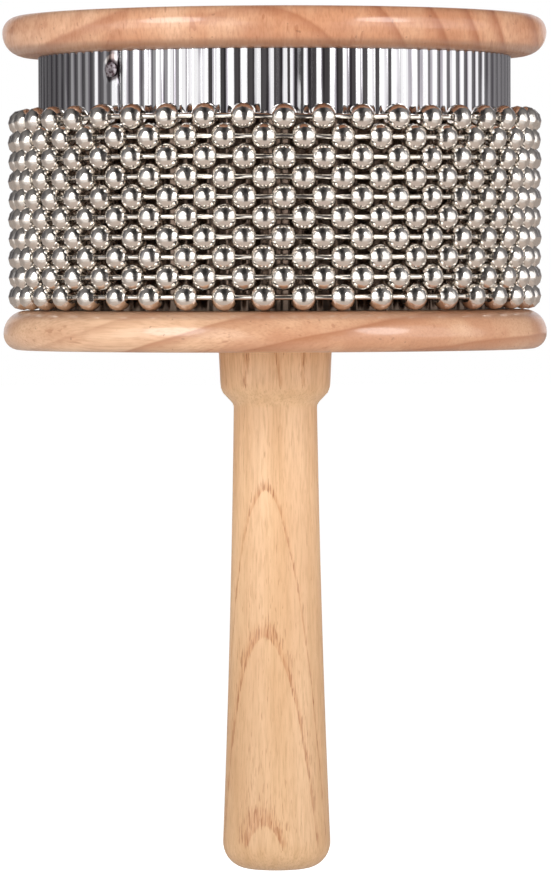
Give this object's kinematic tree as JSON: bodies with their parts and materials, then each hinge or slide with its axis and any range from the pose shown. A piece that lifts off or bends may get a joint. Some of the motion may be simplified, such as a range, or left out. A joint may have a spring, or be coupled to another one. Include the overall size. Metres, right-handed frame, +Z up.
{
  "type": "cabasa",
  "caption": "Hand percussion instrument: loops of steel ball chain lie round a fluted steel drum between wooden discs on a turned wooden handle, and rasp on it when twisted.",
  "frame": {"origin": "on the instrument's axis at the middle of the hand grip", "axes": "+Z up along the axis from the handle to the drum, +X to the right seen from the front, -Y towards the viewer in the picture"},
  "size_m": [0.138, 0.138, 0.2164],
  "materials": {
    "handle_wood": "satin lacquer, open-pored pale hardwood",
    "lower_disc_wood": "satin lacquer, softwood",
    "upper_disc_wood": "satin lacquer, softwood",
    "core_wood": "plain turned softwood",
    "dowel_wood": "plain hardwood",
    "sleeve_steel": "mirror-polished stainless sheet",
    "tack_steel": "plain bright steel",
    "bead_steel": "polished nickel plate",
    "link_steel": "polished nickel plate"
  },
  "bodies": {
    "drum": {"handle": "handle_wood", "lower_disc": "lower_disc_wood", "upper_disc": "upper_disc_wood", "core": "core_wood", "lower_dowels": "dowel_wood", "upper_dowels": "dowel_wood", "corrugated_sleeve": "sleeve_steel", "seam_tacks": "tack_steel"},
    "chain_row_01": {"row_01_beads": "bead_steel", "row_01_links": "link_steel"},
    "chain_row_02": {"row_02_beads": "bead_steel", "row_02_links": "link_steel"},
    "chain_row_03": {"row_03_beads": "bead_steel", "row_03_links": "link_steel"},
    "chain_row_04": {"row_04_beads": "bead_steel", "row_04_links": "link_steel"},
    "chain_row_05": {"row_05_beads": "bead_steel", "row_05_links": "link_steel"},
    "chain_row_06": {"row_06_beads": "bead_steel", "row_06_links": "link_steel"},
    "chain_row_07": {"row_07_beads": "bead_steel", "row_07_links": "link_steel"},
    "chain_row_08": {"row_08_beads": "bead_steel", "row_08_links": "link_steel"},
    "chain_row_09": {"row_09_beads": "bead_steel", "row_09_links": "link_steel"},
    "chain_row_10": {"row_10_beads": "bead_steel", "row_10_links": "link_steel"}
  },
  "joints": [
    {"name": "chain_spin", "type": "hinge", "parent": "drum", "child": "chain_row_10", "pos_m": [0, 0, 0.1], "axis": [0, 0, 1], "continuous": true},
    {"name": "row_01_slide", "type": "slide", "parent": "chain_row_10", "child": "chain_row_01", "axis": [0, 0, 1], "range_m": [0, 0.013]},
    {"name": "row_02_slide", "type": "slide", "parent": "chain_row_10", "child": "chain_row_02", "axis": [0, 0, 1], "range_m": [0, 0.01156]},
    {"name": "row_03_slide", "type": "slide", "parent": "chain_row_10", "child": "chain_row_03", "axis": [0, 0, 1], "range_m": [0, 0.01011]},
    {"name": "row_04_slide", "type": "slide", "parent": "chain_row_10", "child": "chain_row_04", "axis": [0, 0, 1], "range_m": [0, 0.00867]},
    {"name": "row_05_slide", "type": "slide", "parent": "chain_row_10", "child": "chain_row_05", "axis": [0, 0, 1], "range_m": [0, 0.00722]},
    {"name": "row_06_slide", "type": "slide", "parent": "chain_row_10", "child": "chain_row_06", "axis": [0, 0, 1], "range_m": [0, 0.00578]},
    {"name": "row_07_slide", "type": "slide", "parent": "chain_row_10", "child": "chain_row_07", "axis": [0, 0, 1], "range_m": [0, 0.00433]},
    {"name": "row_08_slide", "type": "slide", "parent": "chain_row_10", "child": "chain_row_08", "axis": [0, 0, 1], "range_m": [0, 0.00289]},
    {"name": "row_09_slide", "type": "slide", "parent": "chain_row_10", "child": "chain_row_09", "axis": [0, 0, 1], "range_m": [0, 0.00145]}
  ],
  "couplings": [
    {"joint": "row_02_slide", "follows": "row_01_slide", "ratio": 0.88889},
    {"joint": "row_03_slide", "follows": "row_01_slide", "ratio": 0.77778},
    {"joint": "row_04_slide", "follows": "row_01_slide", "ratio": 0.66667},
    {"joint": "row_05_slide", "follows": "row_01_slide", "ratio": 0.55556},
    {"joint": "row_06_slide", "follows": "row_01_slide", "ratio": 0.44444},
    {"joint": "row_07_slide", "follows": "row_01_slide", "ratio": 0.33333},
    {"joint": "row_08_slide", "follows": "row_01_slide", "ratio": 0.22222},
    {"joint": "row_09_slide", "follows": "row_01_slide", "ratio": 0.11111}
  ]
}
